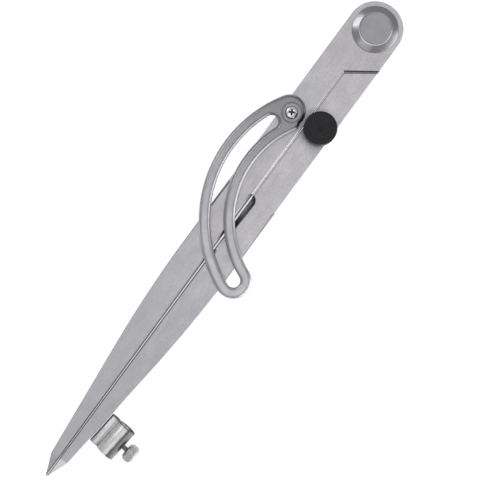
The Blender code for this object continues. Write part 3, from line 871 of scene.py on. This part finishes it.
def make_wing():
    # Dark and light tones of the same steel: painted shade and painted light along the wing.
    steel = tumbled_steel("wing_tumbled_steel", (0.30, 0.295, 0.31), (0.62, 0.605, 0.63))
    place = upright(HINGE)
    top = WING_HIGH.z
    over = top + 0.001
    washer_radius = WASHER_HIGH.x - HINGE.x
    floor = WASHER_LOW.z - GAP
    seat = washer_radius + 0.00030
    dimple = lathe([
        (0.0, over),
        (seat + 0.00012, over),
        (seat + 0.00012, top - 0.00003),
        (seat, top - 0.00015),
        (seat, floor),
        (0.0, floor),
    ], place, 96)
    under = WING_LOW.z - 0.00075
    hole = lathe([(0.0, over), (WING_BORE, over), (WING_BORE, under), (0.0, under)], place, 48)
    mesh = difference(pillow_plate([wing_outline, slot_outline], wing_profile()), [dimple, hole])
    add_piece("wing_plate", mesh, steel, "wing", "wing_steel", "wing")

    hardware = turned_steel(
        "wing_washer_steel", (0.36, 0.36, 0.375), (0.27, 0.27, 0.28), 0.28, HINGE, ring_pitch=0.00007)
    corners = {0: 0.00008, 1: 0.00018, 2: 0.00008, 3: 0.00008}
    mesh = washer(WING_BORE, washer_radius, WASHER_LOW.z, WASHER_HIGH.z, corners, place)
    add_piece("wing_screw_washer", mesh, hardware, "wing", "hardware_steel", "wing_washer")


def make_wing_screw():
    top, low = SCREW_HIGH.z, SCREW_LOW.z
    # The cross recess is painted dark below its top, as painted shade.
    bright = plain_hardware(
        "wing_screw_plated", (0.95, 0.95, 0.95), (0.82, 0.82, 0.83), 0.24, shaded_below=top - 0.00052)
    head_low = WASHER_HIGH.z + GAP
    dome_low = head_low + 0.0003
    head = SCREW_HIGH.x - HINGE.x
    dome = []
    for i in range(9):
        angle = math.radians(8 + 74 * i / 8)
        dome.append((head * math.sin(angle) ** 0.92, dome_low + (top - dome_low) * math.cos(angle)))
    outline = [(0.0, top)] + dome + [
        (head, head_low + 0.0001),
        (head - 0.0001, head_low),
        (SCREW_SHOULDER, head_low),
        (SCREW_SHOULDER, SCREW_SHOULDER_LOW),
        (SCREW_THREAD, SCREW_SHOULDER_LOW),
        (SCREW_THREAD, low),
        (0.0, low),
    ]
    mesh = lathe(outline, upright(HINGE), 96)
    arms = []
    for angle in CROSS_ANGLES:
        turn = Matrix.Rotation(math.radians(angle), 4, "Z")
        place = Matrix.Translation((HINGE.x, HINGE.y, top - 0.0002)) @ turn
        arms.append(tapered_bar(CROSS_ARM, 0.60, place))
    mesh = difference(mesh, arms)
    add_piece("wing_hinge_screw", mesh, bright, "wing_leg", "bright_screw", "wing_screw")


# ---------------------------------------------------------------- clamp knob

def make_knob():
    top, low = KNOB_HIGH.z, KNOB_LOW.z
    radius = KNOB_HIGH.x - STUD.x
    bore_top = STUD_HIGH.z + GAP
    side_high, side_low = top - KNOB_EDGE, low + 0.0012
    outline = [
        (0.0, top - 0.00060),
        (0.00075, top - 0.00056),
        (0.00125, top - 0.00030),
        (0.00175, top - 0.00024),
        (0.00290, top - 0.00020),
        (0.00298, top - 0.00022),
        (0.00316, top - 0.00021),
        (0.00324, top - 0.00018),
        (0.00445, top - 0.00010),
        (0.00453, top - 0.00012),
        (0.00471, top - 0.00011),
        (0.00479, top - 0.00006),
        (0.00600, top),
        (radius - 0.00045, top - 0.00012),
        (radius - 0.00014, top - 0.00042),
        (radius, side_high),
    ]
    levels = 14
    for i in range(1, levels):
        outline.append((radius, side_high + (side_low - side_high) * i / levels))
    outline += [
        (radius, side_low),
        (radius - 0.00025, low + 0.0008),
        (radius - 0.0010, low + 0.00025),
        (radius - 0.0016, low),
        (CLAMP_BORE, low),
        (CLAMP_BORE, bore_top),
        (0.0, bore_top),
    ]

    def ribs(turn, at_radius, height):
        if at_radius < radius - 1e-6:
            return 0.0
        inside = min(height - side_low, side_high - height) / 0.0006
        wave = 0.5 - 0.5 * math.cos(KNOB_RIBS * turn)
        return -KNOB_RIB_DEPTH * max(0.0, min(1.0, inside)) * wave

    black = black_plastic("knob_black_plastic", STUD)
    mesh = lathe(outline, upright(STUD), 6 * KNOB_RIBS, ribs, angle=40)
    add_piece("knob_grip", mesh, black, "clamp_knob", "black_knob", "clamp_knob")


def make_clamp():
    make_knob()
    plated = plain_hardware("stud_plated_steel", (0.60, 0.60, 0.61), (0.40, 0.40, 0.42), 0.26)
    place = upright(STUD)
    radius = STUD_HIGH.x - STUD.x
    mesh = threaded_rod(
        radius, STUD_LOW.z, STUD_HIGH.z, STUD_CHAMFER, STUD_CHAMFER,
        STUD_PITCH, STUD_THREAD_DEPTH, place, 64)
    add_piece("clamp_stud_thread", mesh, plated, "clamp_stud", "hardware_steel", "clamp_stud")

    low, high = KNOB_WASHER_LOW, KNOB_WASHER_HIGH
    corners = {0: 0.0001, 1: 0.0002, 2: 0.0001, 3: 0.0001}
    mesh = washer(CLAMP_BORE, high.x - STUD.x, low.z, high.z, corners, place)
    add_piece("knob_flat_washer", mesh, plated, "clamp_stud", "hardware_steel", "knob_washer")


# ---------------------------------------------------------------- pencil holder

def leg_edge(y):
    """Where the straight part of the pencil leg's tapered outer edge is at y."""
    arc_end = TAPER_START - TAPER_RADIUS * math.sin(TAPER_ANGLE)
    arc_width = HALF_WIDTH - TAPER_RADIUS * (1 - math.cos(TAPER_ANGLE))
    return arc_width - (arc_end - y) * math.tan(TAPER_ANGLE)


def holder_place():
    """Local X leads away from the leg's edge, local Y up, local Z along the tube to the point."""
    out = Vector((math.cos(TAPER_ANGLE), -math.sin(TAPER_ANGLE), 0.0))
    up = Vector((0.0, 0.0, 1.0))
    turn = Matrix((out, up, out.cross(up))).transposed().to_4x4()
    return Matrix.Translation((leg_edge(HOLDER_Y), HOLDER_Y, 0.0)) @ turn


def holder_outlines():
    """The section's outside, round both tubes, and the two bores."""
    tube = Vector((HOLDER_REACH - TUBE_RADIUS, TUBE_HEIGHT))
    lobe = Vector((GAP + LOBE_RADIUS, LOBE_HEIGHT))
    between = lobe - tube
    distance = between.length
    facing = math.atan2(between.y, between.x)
    reach = (distance ** 2 + TUBE_RADIUS ** 2 - LOBE_RADIUS ** 2) / (2 * distance)
    tube_half = math.acos(reach / TUBE_RADIUS)
    lobe_half = math.acos((distance - reach) / LOBE_RADIUS)
    tube_arc = arc(tube, TUBE_RADIUS, facing + tube_half, facing + 2 * math.pi - tube_half, 110)
    lobe_arc = arc(lobe, LOBE_RADIUS, facing - math.pi + lobe_half, facing + math.pi - lobe_half, 64)
    bores = [
        hole_circle(tube, TUBE_RADIUS - STRIP, 110),
        hole_circle(lobe, LOBE_RADIUS - STRIP - 0.00005, 64),
    ]
    return [tube_arc + lobe_arc[1:-1]] + bores


def make_clip(place, screw_axis):
    half = HOLDER_LENGTH / 2
    out = place.to_3x3() @ Vector((1.0, 0.0, 0.0))
    along = place.to_3x3() @ Vector((0.0, 0.0, 1.0))
    start = out.dot(place.translation)
    top = along.dot(place.translation) - half
    nickel = polished_nickel(
        "holder_polished_nickel", (0.80, 0.785, 0.78), (0.62, 0.61, 0.60),
        tuple(out), start, tuple(along), top)
    mesh = plate(holder_outlines(), -half, half, 0.00009, 2)
    countersink = STEM_CLEAR + 0.0001
    hole = lathe([
        (0.0, HOLDER_REACH + 0.001),
        (countersink, HOLDER_REACH + 0.001),
        (countersink, HOLDER_REACH - 0.0002),
        (STEM_CLEAR, HOLDER_REACH - 0.0003),
        (STEM_CLEAR, HOLDER_REACH - 0.0020),
        (0.0, HOLDER_REACH - 0.0020),
    ], screw_axis, 48)
    mesh = difference(mesh, [hole])
    mesh.transform(place)
    add_piece("pencil_clip", mesh, nickel, "pencil_leg", "holder_nickel", "pencil_holder")


def make_knurled_head(axis):
    high = KNURL_LOW + KNURL_LENGTH
    bore_top = KNURL_LOW + STEM_IN_HEAD + GAP
    face = KNURL_RADIUS - 0.0016
    outline = [(0.0, high), (face, high)]
    levels = 26
    for i in range(levels + 1):
        t = i / levels
        height = high - 0.00015 - (KNURL_LENGTH - 0.0003) * t
        outline.append((KNURL_RADIUS - 0.0010 * (2 * t - 1) ** 4 - 0.0002 * (2 * t - 1) ** 2, height))
    outline += [(face, KNURL_LOW), (STEM_CLEAR, KNURL_LOW), (STEM_CLEAR, bore_top), (0.0, bore_top)]
    middle = KNURL_LOW + KNURL_LENGTH / 2

    def knurl(turn, at_radius, height):
        if at_radius < KNURL_RADIUS - 0.0015:
            return 0.0
        lean = KNURL_LEAN * (height - middle) / KNURL_LEAN_RUN
        tooth = KNURL_TEETH * turn / (2 * math.pi)
        one = abs(((tooth + lean) % 1.0) * 2 - 1)
        two = abs(((tooth - lean) % 1.0) * 2 - 1)
        reach = max(0.0, min(1.0, (KNURL_LENGTH / 2 - 0.0005 - abs(height - middle)) / 0.0005))
        return -KNURL_DEPTH * (1 - min(one, two)) * reach

    knurled = plain_hardware("screw_knurled_steel", (0.60, 0.60, 0.60), (0.36, 0.36, 0.37), 0.30)
    mesh = lathe(outline, axis, KNURL_TEETH * 8, knurl, angle=50)
    add_piece("pencil_screw_knurl", mesh, knurled, "pencil_screw_head", "knurled_steel", "pencil_screw_head")


def make_holder():
    place = holder_place()
    screw_axis = Matrix.Translation((0.0, TUBE_HEIGHT, 0.0)) @ Matrix.Rotation(math.pi / 2, 4, "Y")
    axis = place @ screw_axis
    make_clip(place, screw_axis)
    make_knurled_head(axis)
    plated = plain_hardware("stem_plated_steel", (0.48, 0.48, 0.49), (0.28, 0.28, 0.30), 0.30)
    mesh = threaded_rod(
        STEM_RADIUS, STEM_LOW, KNURL_LOW + STEM_IN_HEAD, 0.0, STEM_CHAMFER,
        STEM_PITCH, STEM_THREAD_DEPTH, axis, 48)
    add_piece("pencil_screw_thread", mesh, plated, "pencil_screw_stem", "hardware_steel", "pencil_screw_stem")


# ---------------------------------------------------------------- floor, lights and camera

def add_floor():
    mesh = bpy.data.meshes.new("floor")
    shape = bmesh.new()
    bmesh.ops.create_grid(shape, x_segments=2, y_segments=2, size=FLOOR_SIZE)
    shape.to_mesh(mesh)
    shape.free()
    mesh.materials.append(floor_white())
    floor = bpy.data.objects.new("floor", mesh)
    floor.location.z = FLOOR_Z
    bpy.context.scene.collection.objects.link(floor)


def add_softbox(name, place, aim, width, height, radiance):
    """An area light whose strength is given as the brightness of its face."""
    light = bpy.data.lights.new(name, "AREA")
    light.shape = "RECTANGLE"
    light.size = width
    light.size_y = height
    light.energy = radiance * math.pi * width * height
    box = bpy.data.objects.new(name, light)
    box.location = place
    box.rotation_euler = (Vector(aim) - Vector(place)).to_track_quat("-Z", "Y").to_euler()
    box.visible_camera = False
    bpy.context.scene.collection.objects.link(box)


def add_lights():
    for softbox in SOFTBOXES:
        add_softbox(*softbox)
    world = bpy.data.worlds.new("studio")
    world.use_nodes = True
    backdrop = world.node_tree.nodes["Background"]
    backdrop.inputs["Color"].default_value = WORLD_COLOR
    backdrop.inputs["Strength"].default_value = WORLD_STRENGTH
    bpy.context.scene.world = world


def add_camera():
    lens = bpy.data.cameras.new("camera")
    lens.sensor_width = 36.0
    lens.lens = CAMERA_LENS
    lens.clip_start = 0.01
    camera = bpy.data.objects.new("camera", lens)
    camera.location = CAMERA_PLACE
    camera.rotation_euler = (0.0, 0.0, CAMERA_TURN)
    bpy.context.scene.collection.objects.link(camera)
    bpy.context.scene.camera = camera


make_legs()
make_pivot()
make_wing()
make_wing_screw()
make_clamp()
make_holder()
add_floor()
add_lights()
add_camera()
bpy.context.scene.view_settings.view_transform = "Standard"
